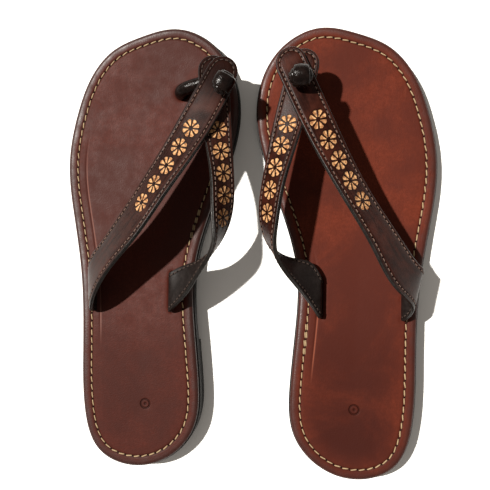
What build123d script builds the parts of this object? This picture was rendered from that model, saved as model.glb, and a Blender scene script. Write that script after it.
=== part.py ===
from build123d import *
import math
import os

# A pair of leather toe-post flip flops standing on the floor.
# +Y points to the toes, +Z is up, the left flip flop is at -X.
# The origin is on the floor, at the middle of the pair's bounding box.
PAIR_CENTRE = (-1.1, -2.94)

# Thickness of each sole layer under the foot
INSOLE = 3.5
MIDSOLE = 3.2
OUTSOLE = 3.3
HEEL_RISE = 5.0
HEEL_BREAST_Y = -58.0
HEEL_RISE_START_Y = 25.0
HEEL_RISE_END_Y = -60.0
TOE_SPRING = 3.0
TOE_SPRING_START_Y = 78.0
TOE_TIP_Y = 129.4
WELT = 0.9

# Reach of shapes used only for cutting, past the soles and straps
FAR_Y = 150.0
FAR_SIDE = 100.0
FAR_UP = 60.0
# Where the side view's curves are pinned between the heel and the toe
HEEL_RISE_STATIONS = (-45, -30, -17.5, -5, 10)
TOE_SPRING_STATION = 105.0

# Plan of the left sole, +X towards the other foot, anticlockwise from the toe
SOLE_PLAN = [
    (23, 129.4), (2, 126), (-17, 118), (-31, 102.5), (-40, 80), (-45, 52),
    (-42.5, 20), (-36.5, -18), (-34.6, -60), (-33.6, -98), (-24, -124), (-4.5, -132.2),
    (19, -126), (32.8, -110), (36, -80), (33.4, -47), (33.2, -14), (40.5, 15),
    (51.5, 45), (59, 74), (56.3, 101), (45.5, 118.5),
]
LEFT_SOLE_AT = (-66.0, 0.0)
RIGHT_SOLE_AT = (62.8, -3.0)
RIGHT_SOLE_TURN = -1.2

# Strap slots in the insole, in the plan of the left sole
SLOT_Y = -28.0
SLOT_LENGTH = 24.6
SLOT_PLAY = 0.25
OUTER_SLOT_X = -27.0
INNER_SLOT_X = 20.0
TAIL_REACH = 13.0
TAIL_WIDTH = 23.0
TAIL_INSET = 0.3

# Straps: dark grain leather over a thin lining
GRAIN = 1.4
LINING = 1.0
STRAP_END_RADIUS = 9.4
STRAP_UPRIGHT = 4.0

# Row of thread round the insole: stitches are (length, width, thickness), the groove (width, depth)
SOLE_STITCH_INSET = 5.8
SOLE_STITCH_PITCH = 4.7
SOLE_STITCH = (3.3, 0.9, 0.5)
STITCH_GROOVE = (1.3, 0.55)

# Rows of thread along the straps
STRAP_STITCH_INSET = 2.2
STRAP_STITCH_PITCH = 3.0
STRAP_STITCH = (2.1, 0.6, 0.4)
FIRST_STITCH_ABOVE_INSOLE = 1.5
STITCH_WALK_STEPS = 600
FLAT_END_SHARE = 0.97
END_BLOCK = (30.0, 60.0)

# Toe post and its rolled toggle
POST_AT = (25.5, 91.0)
POST_RADIUS = 3.8
POST_NECK_RADIUS = 2.1
POST_FOOT_RADIUS = 9.0
POST_FOOT = 1.6
POST_SHOULDER = 9.5
POST_PLAY = 0.3
POST_HOLE_DEPTH = 24.0
NECK_PAST_TOGGLE_MIDDLE = 3.0
BORE_DEPTH = 12.0
TOGGLE_RADIUS = 6.0
TOGGLE_LENGTH = 13.0
TOGGLE_ROUNDING = 0.6
COIL_START = 0.9
COIL_PITCH = 1.9
COIL_TURNS = 2
COIL_GAP = 0.45
COIL_DEPTH = 1.2

# Edges of each strap from just above the slot to the toe: (rear edge, front edge)
LEFT_OUTER_EDGES = [
    ((-90.5, -35.5, 27), (-93, -12.5, 22)),
    ((-78, -17, 40), (-83.5, 1.5, 28)),
    ((-60, 3, 45), (-71, 18, 31)),
    ((-42, 28, 44.5), (-56, 40, 32)),
    ((-21, 59.5, 38), (-37.5, 70.5, 32.5)),
    ((-1, 101, 30), (-16.2, 109.5, 30)),
]
LEFT_INNER_EDGES = [
    ((-38, -32, 26), (-40.5, -13.5, 17)),
    ((-25, -15, 37.5), (-27.5, -9, 21.5)),
    ((-17, -1.5, 42.5), (-18, -1.5, 25)),
    ((-16.5, 14, 43), (-9.5, 13, 27.5)),
    ((-18, 38.5, 40), (-7, 41.5, 28.5)),
    ((-23.5, 66, 33), (-8, 69, 27.8)),
    ((-27.5, 107.7, 27.2), (-10.5, 108.2, 27.2)),
]
RIGHT_OUTER_EDGES = [
    ((92.5, -36.5, 26), (96.5, -15, 23)),
    ((83, -24.5, 42), (95.5, -11, 29)),
    ((70, -3.5, 49), (83.5, 5, 34.5)),
    ((54.5, 23.5, 50), (66, 32.5, 38)),
    ((37, 55, 45.5), (50.5, 65, 39.5)),
    ((15.2, 102.8, 38), (30.3, 110.9, 38)),
]
RIGHT_INNER_EDGES = [
    ((36, -32.5, 26), (38.5, -12, 18)),
    ((26.5, -19, 38), (28, -8, 22.5)),
    ((19, -6, 44), (17, -3.5, 26.5)),
    ((19, 10.5, 46), (9.5, 11.5, 31)),
    ((23, 33, 45.5), (11, 37, 33.5)),
    ((30.5, 58, 40.3), (15.5, 62, 34.5)),
    ((43.4, 104.7, 35.2), (28, 109.6, 35.2)),
]
# Where each post crosses the straps, and the middle of its toggle
LEFT_JOINT = (-15.7, 92.0, 31.0)
LEFT_TOGGLE_AT = (-10.6, 88.8, 41.4)
RIGHT_JOINT = (31.6, 91.2, 39.0)
RIGHT_TOGGLE_AT = (32.0, 89.0, 48.4)

SIDES = {
    "left": (LEFT_OUTER_EDGES, LEFT_INNER_EDGES, LEFT_JOINT, LEFT_TOGGLE_AT),
    "right": (RIGHT_OUTER_EDGES, RIGHT_INNER_EDGES, RIGHT_JOINT, RIGHT_TOGGLE_AT),
}
SOLE_TOP = OUTSOLE + MIDSOLE + INSOLE
INSOLE_UNDERSIDE = OUTSOLE + MIDSOLE


def lift(y):
    """Height of the outsole's underside above the floor at y."""
    if y > TOE_SPRING_START_Y:
        reach = (y - TOE_SPRING_START_Y) / (TOE_TIP_Y - TOE_SPRING_START_Y)
        return TOE_SPRING * reach**2
    share = (HEEL_RISE_START_Y - y) / (HEEL_RISE_START_Y - HEEL_RISE_END_Y)
    share = min(max(share, 0), 1)
    return HEEL_RISE * share**2 * (3 - 2 * share)


def profile_line(height):
    """Side view of the sole at a height above its underside, toe to heel."""
    heel_end = [(-FAR_Y, HEEL_RISE + height), (HEEL_RISE_END_Y, HEEL_RISE + height)]
    rise = [(y, lift(y) + height) for y in HEEL_RISE_STATIONS]
    flat = [(HEEL_RISE_START_Y, height), (TOE_SPRING_START_Y, height)]
    toe = [(y, lift(y) + height) for y in (TOE_SPRING_STATION, FAR_Y)]
    slope = 2 * TOE_SPRING * (FAR_Y - TOE_SPRING_START_Y) / (TOE_TIP_Y - TOE_SPRING_START_Y) ** 2
    return Line(*heel_end) + Spline(
        heel_end[1], *rise, flat[0], tangents=((1, 0), (1, 0))
    ) + Line(*flat) + Spline(flat[1], *toe, tangents=((1, 0), (1, slope)))


def band(lower, upper):
    """Everything between two heights of the sole's side view."""
    low = profile_line(lower)
    high = profile_line(upper)
    ends = Line((FAR_Y, lift(FAR_Y) + lower), (FAR_Y, lift(FAR_Y) + upper))
    back = Line((-FAR_Y, HEEL_RISE + lower), (-FAR_Y, HEEL_RISE + upper))
    side = make_face(low.edges() + high.edges() + [ends.edge(), back.edge()])
    return extrude(Plane.YZ * side, FAR_SIDE, both=True)


def layer(plan, lower, upper):
    """A plan cut out of a sheet that follows the sole's side view."""
    return extrude(plan, FAR_UP, both=True) & band(lower, upper)


def sole_outline(grow=0.0):
    """The sole's plan, moved outwards by grow."""
    outline = Spline(*SOLE_PLAN, periodic=True).edge()
    if grow == 0:
        return outline
    count = 30
    moved = []
    for index in range(count):
        at = outline.position_at(index / count)
        along = outline.tangent_at(index / count)
        moved.append((at.X + grow * along.Y, at.Y - grow * along.X))
    return Spline(*moved, periodic=True).edge()


def sole_face(grow=0.0):
    return make_face(sole_outline(grow))


def slot_plan(slot_x, width, length):
    return Pos(slot_x, SLOT_Y) * Rectangle(width, length)


def tail_plan(slot_x, near, far):
    """Rectangle across a strap tail, from near to far, measured towards the sole's middle."""
    inward = 1 if slot_x < 0 else -1
    middle = slot_x + inward * (near + far) / 2
    return Pos(middle, SLOT_Y) * Rectangle(abs(far - near), TAIL_WIDTH - 2 * TAIL_INSET)


def place(side, shape):
    """Moves a piece from the left sole's own plan to its place in the pair."""
    if side == "left":
        return Pos(*LEFT_SOLE_AT) * shape
    return Pos(*RIGHT_SOLE_AT) * Rot(0, 0, RIGHT_SOLE_TURN) * mirror(shape, Plane.YZ)


def place_point(side, x, y, z):
    if side == "left":
        return Vector(LEFT_SOLE_AT[0] + x, LEFT_SOLE_AT[1] + y, z)
    turned = Vector(-x, y, z).rotate(Axis.Z, RIGHT_SOLE_TURN)
    return turned + Vector(*RIGHT_SOLE_AT, 0)


def insole():
    body = layer(sole_face(), INSOLE_UNDERSIDE, SOLE_TOP)
    groove_outer = sole_face(STITCH_GROOVE[0] / 2 - SOLE_STITCH_INSET)
    groove_inner = sole_face(-STITCH_GROOVE[0] / 2 - SOLE_STITCH_INSET)
    body -= layer(groove_outer - groove_inner, SOLE_TOP - STITCH_GROOVE[1], SOLE_TOP + 1)
    for slot_x in (OUTER_SLOT_X, INNER_SLOT_X):
        outward = -1 if slot_x < 0 else 1
        middle = slot_x + outward * (GRAIN - LINING) / 2
        width = GRAIN + LINING + 2 * SLOT_PLAY
        body -= extrude(slot_plan(middle, width, SLOT_LENGTH), FAR_UP, both=True)
    return body - extrude(Pos(*POST_AT) * Circle(POST_RADIUS + POST_PLAY), FAR_UP, both=True)


def midsole():
    body = layer(sole_face(WELT), OUTSOLE, INSOLE_UNDERSIDE)
    floor = INSOLE_UNDERSIDE - GRAIN - LINING
    for slot_x in (OUTER_SLOT_X, INNER_SLOT_X):
        inward = 1 if slot_x < 0 else -1
        middle = slot_x + inward * (TAIL_REACH - GRAIN) / 2
        width = TAIL_REACH + GRAIN + 2 * SLOT_PLAY
        body -= layer(slot_plan(middle, width, SLOT_LENGTH), floor, INSOLE_UNDERSIDE + 1)
    foot = Pos(*POST_AT) * Circle(POST_FOOT_RADIUS + POST_PLAY)
    return body - layer(foot, INSOLE_UNDERSIDE - POST_FOOT, INSOLE_UNDERSIDE + 1)


def outsole():
    return layer(sole_face(WELT), 0, OUTSOLE)


def heel_lift():
    block = Box(2 * FAR_SIDE, 2 * FAR_SIDE, HEEL_RISE)
    under_heel = Pos(0, HEEL_BREAST_Y - FAR_SIDE, HEEL_RISE / 2) * block
    return extrude(sole_face(WELT), HEEL_RISE) & under_heel


def sole_stitching():
    path = sole_outline(-SOLE_STITCH_INSET)
    count = round(path.length / SOLE_STITCH_PITCH)
    depth = STITCH_GROOVE[1] - SOLE_STITCH[2] / 2
    stitches = []
    for index in range(count):
        at = path.position_at((index + 0.5) / count)
        behind = path.position_at(index / count)
        ahead = path.position_at((index + 1) / count)
        climb = lift(ahead.Y) - lift(behind.Y)
        along = Vector(ahead.X - behind.X, ahead.Y - behind.Y, climb)
        frame = Plane((at.X, at.Y, lift(at.Y) + SOLE_TOP - depth), x_dir=along, z_dir=(0, 0, 1))
        stitches.append(frame * Box(*SOLE_STITCH))
    return stitches


def strap_stations(side, slot_x, edges, foot):
    """Rear and front edge points from foot, inside the sole, to the toe, and the grain normals."""
    rear = [Vector(*pair[0]) for pair in edges]
    front = [Vector(*pair[1]) for pair in edges]
    for height in (SOLE_TOP + STRAP_UPRIGHT, SOLE_TOP, foot):
        for points, end in ((rear, -1), (front, 1)):
            y = SLOT_Y + end * TAIL_WIDTH / 2
            points.insert(0, place_point(side, slot_x, y, lift(y) + height))
    middles = [(a + b) * 0.5 for a, b in zip(rear, front)]
    normals = []
    for index, middle in enumerate(middles):
        before = middles[max(index - 1, 0)]
        after = middles[min(index + 1, len(middles) - 1)]
        normals.append((after - before).cross(front[index] - rear[index]).normalized())
    if normals[-1].Z < 0:
        normals = [normal * -1 for normal in normals]
    return rear, front, normals


def strap_curves(side, slot_x, edges, foot, height):
    """Rear and front edge of the strap, height above the seam between grain and lining."""
    rear, front, normals = strap_stations(side, slot_x, edges, foot)
    curves = []
    for points in (rear, front):
        curves.append(Spline(*[a + n * height for a, n in zip(points, normals)]).edge())
    return curves


def strap_slab(side, slot_x, edges, foot, low, high):
    """A strap leather between two heights above its seam."""
    rear_low, front_low = strap_curves(side, slot_x, edges, foot, low)
    rear_high, front_high = strap_curves(side, slot_x, edges, foot, high)
    pairs = [(rear_low, front_low), (rear_high, front_high)]
    pairs += [(rear_low, rear_high), (front_low, front_high)]
    faces = [Face.make_surface_from_curves(*pair) for pair in pairs]
    for end in (0, 1):
        corners = [curve @ end for curve in (rear_low, front_low, front_high, rear_high)]
        faces.append(make_face(Polyline(*corners, close=True)).face())
    return Solid(Shell(faces))


def strap_end(edges):
    """Middle of the rounded toe end and the way the strap runs there."""
    rear = Vector(*edges[-1][0])
    front = Vector(*edges[-1][1])
    across = (front - rear).normalized()
    middle = (rear + front) * 0.5
    along = Vector(across.Y, -across.X, 0)
    if along.Y < 0:
        along = along * -1
    return middle - along * STRAP_END_RADIUS, along


def end_cutter(edges):
    """What lies beyond the rounded toe end."""
    middle, along = strap_end(edges)
    turn = math.degrees(math.atan2(along.Y, along.X))
    block = Pos(END_BLOCK[0] / 2, 0) * Rectangle(*END_BLOCK) - Circle(STRAP_END_RADIUS)
    return extrude(Pos(middle.X, middle.Y) * Rot(0, 0, turn) * block, FAR_SIDE)


def strap_leather(side, slot_x, edges, low, high, near, tail_top):
    """One leather of a strap, between two heights above the seam, with its tail."""
    thickness = high - low
    body = strap_slab(side, slot_x, edges, tail_top - thickness / 2, low, high)
    tail = tail_plan(slot_x, near + TAIL_INSET, TAIL_REACH)
    flange = layer(tail, tail_top - thickness, tail_top)
    return body + place(side, flange) - end_cutter(edges)


def strap_grain(side, slot_x, edges):
    return strap_leather(side, slot_x, edges, 0, GRAIN, -GRAIN, INSOLE_UNDERSIDE - LINING)


def strap_lining(side, slot_x, edges):
    return strap_leather(side, slot_x, edges, -LINING, 0, 0, INSOLE_UNDERSIDE)


def post_hole(joint, toggle_at):
    axis = Vector(*toggle_at) - Vector(*joint)
    plane = Plane(Vector(*joint), z_dir=axis)
    return plane * Cylinder(POST_NECK_RADIUS + 2 * POST_PLAY, POST_HOLE_DEPTH)


def strap_stitching(side, slot_x, edges):
    """Thread along both edges of a strap's grain side and round its toe end."""
    curves = strap_curves(side, slot_x, edges, INSOLE_UNDERSIDE, GRAIN)
    face = Face.make_surface_from_curves(*curves)
    sign = 1 if face.normal_at(0.9, 0.5).Z > 0 else -1
    stitches = []
    middle, along = strap_end(edges)
    for edge_side in (0, 1):
        walked = 0.0
        next_at = INSOLE + FIRST_STITCH_ABOVE_INSOLE
        previous = None
        for index in range(STITCH_WALK_STEPS):
            u = (index + 1) / STITCH_WALK_STEPS
            width = (face.position_at(u, 1) - face.position_at(u, 0)).length
            inset = STRAP_STITCH_INSET / width
            v = inset if edge_side == 0 else 1 - inset
            point = face.position_at(u, v)
            if previous is not None:
                walked += (point - previous).length
            if walked >= next_at and (point - middle).dot(along) < 0:
                normal = face.normal_at(u, v) * sign
                frame = Plane(point, x_dir=point - previous, z_dir=normal)
                stitches.append(frame * Box(*STRAP_STITCH))
                next_at += STRAP_STITCH_PITCH
            previous = point
    normal = face.normal_at(FLAT_END_SHARE, 0.5) * sign
    level = face.position_at(FLAT_END_SHARE, 0.5)
    radius = STRAP_END_RADIUS - STRAP_STITCH_INSET
    count = round(math.pi * radius / STRAP_STITCH_PITCH)
    across = Vector(-along.Y, along.X, 0)
    for index in range(count):
        angle = math.pi * ((index + 0.5) / count - 0.5)
        spoke = along * math.cos(angle) + across * math.sin(angle)
        tangent = across * math.cos(angle) - along * math.sin(angle)
        spot = middle + spoke * radius
        drop = (spot - level).dot(normal)
        frame = Plane(spot - normal * drop, x_dir=tangent, z_dir=normal)
        stitches.append(frame * Box(*STRAP_STITCH))
    return stitches


def toe_post(side, joint, toggle_at):
    base = place_point(side, *POST_AT, INSOLE_UNDERSIDE)
    top = place_point(side, *POST_AT, SOLE_TOP + 1)
    joint = Vector(*joint)
    axis = (Vector(*toggle_at) - joint).normalized()
    shoulder = joint - axis * POST_SHOULDER
    lower = Line(base, top)
    upper = Spline(top, shoulder, tangents=((0, 0, 1), axis))
    roll = sweep(Plane(base, z_dir=(0, 0, 1)) * Circle(POST_RADIUS), lower + upper)
    length = (Vector(*toggle_at) - shoulder).length + NECK_PAST_TOGGLE_MIDDLE
    neck = Plane(shoulder, z_dir=axis) * extrude(Circle(POST_NECK_RADIUS), length)
    foot = Pos(*POST_AT) * Circle(POST_FOOT_RADIUS)
    return roll + neck + place(side, layer(foot, INSOLE_UNDERSIDE - POST_FOOT, INSOLE_UNDERSIDE))


def coil_groove():
    """Spiral line between the windings on the end of the roll."""
    inner = []
    outer = []
    for step in range(int(COIL_TURNS * 8) + 1):
        turn = step / 8
        radius = COIL_START + COIL_PITCH * turn
        angle = turn * 360
        inner.append(Vector(radius, 0, 0).rotate(Axis.Z, angle))
        outer.append(Vector(radius + COIL_GAP, 0, 0).rotate(Axis.Z, angle))
    edges = [Spline(*inner), Spline(*outer), Line(inner[0], outer[0]), Line(inner[-1], outer[-1])]
    return make_face([edge.edge() for edge in edges])


def toe_toggle(joint, toggle_at):
    axis = (Vector(*toggle_at) - Vector(*joint)).normalized()
    barrel_axis = axis.cross(Vector(0, 0, 1)).normalized()
    if joint[0] > 0:
        barrel_axis = axis.cross(Vector(0, 1, 0)).normalized()
    frame = Plane(Vector(*toggle_at), z_dir=barrel_axis)
    roll = frame * Cylinder(TOGGLE_RADIUS, TOGGLE_LENGTH)
    roll = fillet(roll.edges().filter_by(GeomType.CIRCLE), TOGGLE_ROUNDING)
    for end in (-1, 1):
        at = Pos(0, 0, end * TOGGLE_LENGTH / 2)
        roll -= frame * at * extrude(coil_groove(), COIL_DEPTH, both=True)
    downwards = (Align.CENTER, Align.CENTER, Align.MAX)
    bore = Cylinder(POST_NECK_RADIUS + POST_PLAY, BORE_DEPTH, align=downwards)
    bore_end = NECK_PAST_TOGGLE_MIDDLE + POST_PLAY
    bore_frame = Plane(Vector(*toggle_at) + axis * bore_end, z_dir=axis)
    return roll - bore_frame * bore


def save(name, shape):
    if isinstance(shape, list):
        shape = Compound(shape)
    shape = Pos(-PAIR_CENTRE[0], -PAIR_CENTRE[1]) * shape
    export_step(shape, f"parts/{name}.step")


def build_side(side):
    outer_edges, inner_edges, joint, toggle_at = SIDES[side]
    prefix = f"{side}_"
    save(prefix + "insole", place(side, insole()))
    save(prefix + "midsole", place(side, midsole()))
    save(prefix + "outsole", place(side, outsole()))
    save(prefix + "heel_lift", place(side, heel_lift()))
    save(prefix + "sole_stitching", [place(side, stitch) for stitch in sole_stitching()])
    straps = {"outer": (OUTER_SLOT_X, outer_edges), "inner": (INNER_SLOT_X, inner_edges)}
    hole = post_hole(joint, toggle_at)
    for name, (slot_x, edges) in straps.items():
        save(f"{prefix}{name}_strap_upper", strap_grain(side, slot_x, edges) - hole)
        save(f"{prefix}{name}_strap_lining", strap_lining(side, slot_x, edges) - hole)
        save(f"{prefix}{name}_strap_stitching", strap_stitching(side, slot_x, edges))
    save(prefix + "toe_post", toe_post(side, joint, toggle_at))
    save(prefix + "toe_toggle", toe_toggle(joint, toggle_at))


os.makedirs("parts", exist_ok=True)
for side in SIDES:
    build_side(side)
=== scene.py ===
import math

import bmesh
import bpy
import numpy as np
from mathutils import Matrix, Vector
from mathutils.geometry import delaunay_2d_cdt


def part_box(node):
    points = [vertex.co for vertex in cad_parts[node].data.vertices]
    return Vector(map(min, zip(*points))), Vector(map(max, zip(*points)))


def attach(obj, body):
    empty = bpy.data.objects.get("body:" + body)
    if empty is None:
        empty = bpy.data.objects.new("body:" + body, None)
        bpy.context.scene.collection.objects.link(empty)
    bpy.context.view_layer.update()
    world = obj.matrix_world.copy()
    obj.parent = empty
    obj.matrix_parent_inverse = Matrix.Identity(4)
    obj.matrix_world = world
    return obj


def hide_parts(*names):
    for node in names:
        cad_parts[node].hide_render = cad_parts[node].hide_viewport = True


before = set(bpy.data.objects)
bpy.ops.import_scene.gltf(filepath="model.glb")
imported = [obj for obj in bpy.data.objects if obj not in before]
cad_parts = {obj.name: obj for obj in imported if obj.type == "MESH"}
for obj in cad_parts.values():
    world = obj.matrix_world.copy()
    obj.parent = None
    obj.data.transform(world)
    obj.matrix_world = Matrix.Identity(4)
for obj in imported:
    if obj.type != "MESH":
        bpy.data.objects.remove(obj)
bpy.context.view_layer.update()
rng = np.random.default_rng(11)

MM = 0.001
MERGE_WITHIN = 2e-6  # metres between points that are one

# ------------------------ dimensions, in millimetres
# Sole: three layers on a raised heel and a lifted toe.
OUTSOLE, MIDSOLE, INSOLE = 3.3, 3.2, 3.5
INSOLE_UNDERSIDE = OUTSOLE + MIDSOLE
SOLE_TOP = INSOLE_UNDERSIDE + INSOLE
HEEL_RISE, HEEL_RISE_START_Y, HEEL_RISE_END_Y = 5.0, 25.0, -60.0
TOE_SPRING, TOE_SPRING_START_Y, TOE_TIP_Y = 3.0, 78.0, 129.4
SOLE_PLAN = [
    (23, 129.4), (2, 126), (-17, 118), (-31, 102.5), (-40, 80), (-45, 52),
    (-42.5, 20), (-36.5, -18), (-34.6, -60), (-33.6, -98), (-24, -124), (-4.5, -132.2),
    (19, -126), (32.8, -110), (36, -80), (33.4, -47), (33.2, -14), (40.5, 15),
    (51.5, 45), (59, 74), (56.3, 101), (45.5, 118.5),
]
LEFT_SOLE_AT = (-66.0, 0.0)
RIGHT_SOLE_AT = (62.8, -3.0)
RIGHT_SOLE_TURN = math.radians(-1.2)

# Profiles of the two lower layers, as (outward of the plan, height above the outsole's underside).
EDGE_TOP = INSOLE_UNDERSIDE + 0.02
MIDSOLE_PROFILE = [
    (0.0, OUTSOLE), (0.55, OUTSOLE + 0.05), (0.85, OUTSOLE + 0.5), (0.9, OUTSOLE + 1.6),
    (0.85, INSOLE_UNDERSIDE - 0.45), (0.55, INSOLE_UNDERSIDE - 0.05), (0.1, EDGE_TOP), (-1.2, EDGE_TOP),
]
OUTSOLE_PROFILE = [
    (-1.5, 0.0), (0.1, 0.0), (0.6, 0.15), (0.88, 0.6), (0.9, 1.7), (0.86, OUTSOLE - 0.4),
    (0.55, OUTSOLE - 0.05), (0.0, OUTSOLE),
]

# Footbed: rounded rim, sunk row of stitches, shallow cup, worn crease, and a ring and dot at the heel.
RIM_DROP, RIM_WIDTH = 1.1, 2.2
STITCH_INSET, STITCH_PITCH = 5.8, 4.7
GROOVE_DEPTH, GROOVE_WIDTH = 0.55, 0.75
CUP_DEPTH, CUP_START, CUP_RUN = 0.5, 12, 22
CREASE_INSET, CREASE_DEPTH, CREASE_WIDTH = 11.0, 0.3, 0.45
CREASE_FADE_IN, CREASE_FADE_OUT = 25, 20
CREASE = {"left": (-1, -60.0, 70.0), "right": (1, -80.0, 0.0)}  # which side of x = 0, and y from and to
HEEL_STAMP = {"left": (4.2, -94.9), "right": (-0.7, -92.0)}
STAMP_RING, STAMP_RING_WIDTH, STAMP_DOT, STAMP_DEPTH = 2.7, 0.4, 0.7, 0.35

# Openings in the footbed, with the leather pulled down round them.
SLOT_Y, SLOT_LENGTH, OUTER_SLOT_X, INNER_SLOT_X = -28.0, 24.6, -27.0, 20.0
SLOT_GAP, POST_GAP = 0.35, 0.1
POST_AT, POST_RADIUS = (25.5, 91.0), 3.8
HOLE_DIP, HOLE_DIP_WIDTH = 0.55, 0.8
HOLE_WALL = INSOLE + 0.2

# Fineness of the footbed's mesh.
PLAN_SAMPLES, RIM_SAMPLES, ROW_SAMPLES, CURVE_SAMPLES = 900, 600, 3000, 4000
FOOTBED_INSETS = [
    0.0, 0.25, 0.55, 0.95, 1.5, 2.1, 3.0, 4.1, 4.7, 5.1, 5.45, 5.8, 6.15, 6.5, 6.9, 7.5,
    8.5, 9.6, 10.3, 10.7, 11.0, 11.3, 11.8, 12.8,
]
GRID_STEP, GRID_GAP, GRID_X, GRID_Y = 1.6, 0.6, (-44, 60), (-130, 128)
HOLE_RINGS, SLOT_SAMPLES, CIRCLE_SAMPLES = (0.0, 0.8, 1.8), 120, 48
STAMP_RINGS, STAMP_CLEAR = (0.35, 0.7, 1.1, 1.7, 2.1, 2.4, 2.7, 3.0, 3.3, 3.8), 4.4

# Straps: two layers sewn together, cut to a half circle at the toe.
TAIL_WIDTH, STRAP_UPRIGHT = 23.0, 4.0
GRAIN, LINING = 1.4, 1.0
STRAP_TRIM, STRAP_SAMPLES = 0.4, 1500
STRAP_INSETS = [0.0, 0.45, 0.9, 1.35, 1.75, 2.2, 2.65, 3.1, 3.7, 4.6]
STRAP_GRID, FLOWER_GRID = 1.1, 0.34
STRAP_STITCH_INSET, STRAP_STITCH_PITCH = 2.2, 2.9
STRAP_ROW_START, STRAP_ROW_STEP, STRAP_ROW_ARC, STRAP_ROW_REACH = INSOLE + 3.0, 0.1, 240, 0.4
STRAP_GROOVE, STRAP_GROOVE_WIDTH, LINING_GROOVE = 0.42, 0.5, 0.2
PILLOW, PILLOW_WIDTH, PILLOW_START = 0.35, 7, -0.15
# Rings round a strap's edge: outward, then the height above the seam, or None for a drop below the grain.
STRAP_EDGE_RINGS = [
    (0.22, None, -0.1), (0.38, None, -0.32), (0.42, 0.3, 0), (0.16, 0.03, 0),
    (0.42, -0.24, 0), (0.36, -LINING + 0.25, 0), (0.2, -LINING + 0.06, 0),
]
UV_OFF_PATTERN = -1000
# Each strap's two edges from the sole to the toe: pairs of points on its rear and its front edge.
STRAP_EDGES = {
    "left_outer": [
        ((-90.5, -35.5, 27), (-93, -12.5, 22)), ((-78, -17, 40), (-83.5, 1.5, 28)),
        ((-60, 3, 45), (-71, 18, 31)), ((-42, 28, 44.5), (-56, 40, 32)),
        ((-21, 59.5, 38), (-37.5, 70.5, 32.5)), ((-1, 101, 30), (-16.2, 109.5, 30)),
    ],
    "left_inner": [
        ((-38, -32, 26), (-40.5, -13.5, 17)), ((-25, -15, 37.5), (-27.5, -9, 21.5)),
        ((-17, -1.5, 42.5), (-18, -1.5, 25)), ((-16.5, 14, 43), (-9.5, 13, 27.5)),
        ((-18, 38.5, 40), (-7, 41.5, 28.5)), ((-23.5, 66, 33), (-8, 69, 27.8)),
        ((-27.5, 107.7, 27.2), (-10.5, 108.2, 27.2)),
    ],
    "right_outer": [
        ((92.5, -36.5, 26), (96.5, -15, 23)), ((83, -24.5, 42), (95.5, -11, 29)),
        ((70, -3.5, 49), (83.5, 5, 34.5)), ((54.5, 23.5, 50), (66, 32.5, 38)),
        ((37, 55, 45.5), (50.5, 65, 39.5)), ((15.2, 102.8, 38), (30.3, 110.9, 38)),
    ],
    "right_inner": [
        ((36, -32.5, 26), (38.5, -12, 18)), ((26.5, -19, 38), (28, -8, 22.5)),
        ((19, -6, 44), (17, -3.5, 26.5)), ((19, 10.5, 46), (9.5, 11.5, 31)),
        ((23, 33, 45.5), (11, 37, 33.5)), ((30.5, 58, 40.3), (15.5, 62, 34.5)),
        ((43.4, 104.7, 35.2), (28, 109.6, 35.2)),
    ],
}

# Flowers stamped in a row down each strap.
FIRST_FLOWER = {"left_outer": 71.8, "left_inner": 62.0, "right_outer": 76.9, "right_inner": 65.3}
FLOWERS, FLOWER_SPACING, PETALS = 5, 12.4, 8
PETAL_START, PETAL_END, PETAL_POINT, PETAL_SPREAD, PETAL_DEPTH = 1.25, 5.2, 0.45, 0.29, 0.28
PETAL_ROUNDING, PETAL_SLOPE = 1.2, 0.3
PETAL_SHIFT = 2 * PETALS + 0.5  # centres a petal on the strap's own direction
# Painted shade: the left straps darken from the first of these distances along them to the second, towards
# the toe end.
TOE_SHADE_START, TOE_SHADE_END = 68.0, 88.0

# Stitches as (length, width, height), and the needle's holes as (radius, distance from the middle).
SOLE_STITCH, SOLE_NEEDLE, SOLE_SLANT = (4.1, 0.8, 0.7), (0.38, 2.15), 0.13
STRAP_STITCH, STRAP_NEEDLE = (2.3, 0.62, 0.56), (0.46, 1.3)
STITCH_ON_GRAIN, STITCH_ON_LINING = GRAIN - 0.02, -LINING + 0.05
STITCH_SECTIONS, STITCH_SIDES, STITCH_FULLNESS, STITCH_TIP, STITCH_DIP = 9, 8, 3.2, 0.02, 0.32
NEEDLE_DISH, NEEDLE_LIP = -0.08, 0.02
UNEVEN, UNEVEN_ROW, DOUBLE_GAP = 0.05, 0.6, 0.45
DOUBLED_WAIST = {"left": (5, 20), "right": (-60, -45)}
# Painted shade: on a left strap, stitches within this distance of the toe end get the dark thread.
SHADED_TOE_ROW = 20

# Toggle: a strip of leather rolled up on itself, from its joint on the post to its middle.
TOGGLE_RADIUS, TOGGLE_LENGTH = 6.0, 13.0
WRAP_THICKNESS, WRAP_PITCH, WRAP_TURNS, WRAP_STEPS, WRAP_START = 1.62, 1.8, 2.62, 72, 0.6
WRAP_CORE, WRAP_DOME, WRAP_BULGE = 0.05, 0.36, 0.7
WRAP_DRIFT, WRAP_DRIFT_RATE, WRAP_DRIFT_START = 0.22, 2.1, 0.5
TOGGLES = {
    "left": ((-15.7, 92.0, 31.0), (-10.6, 88.8, 41.4)),
    "right": ((31.6, 91.2, 39.0), (32.0, 89.0, 48.4)),
}


# ------------------------ shared geometry
def lift(y):
    """Height of the outsole's underside above the floor at y."""
    y = np.asarray(y, float)
    reach = np.clip((y - TOE_SPRING_START_Y) / (TOE_TIP_Y - TOE_SPRING_START_Y), 0, None)
    share = np.clip((HEEL_RISE_START_Y - y) / (HEEL_RISE_START_Y - HEEL_RISE_END_Y), 0, 1)
    return TOE_SPRING * reach**2 + HEEL_RISE * share**2 * (3 - 2 * share)


def hump(distance, width):
    """A smooth bump of height 1 where distance is 0."""
    return np.exp(-((distance / width) ** 2))


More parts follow.
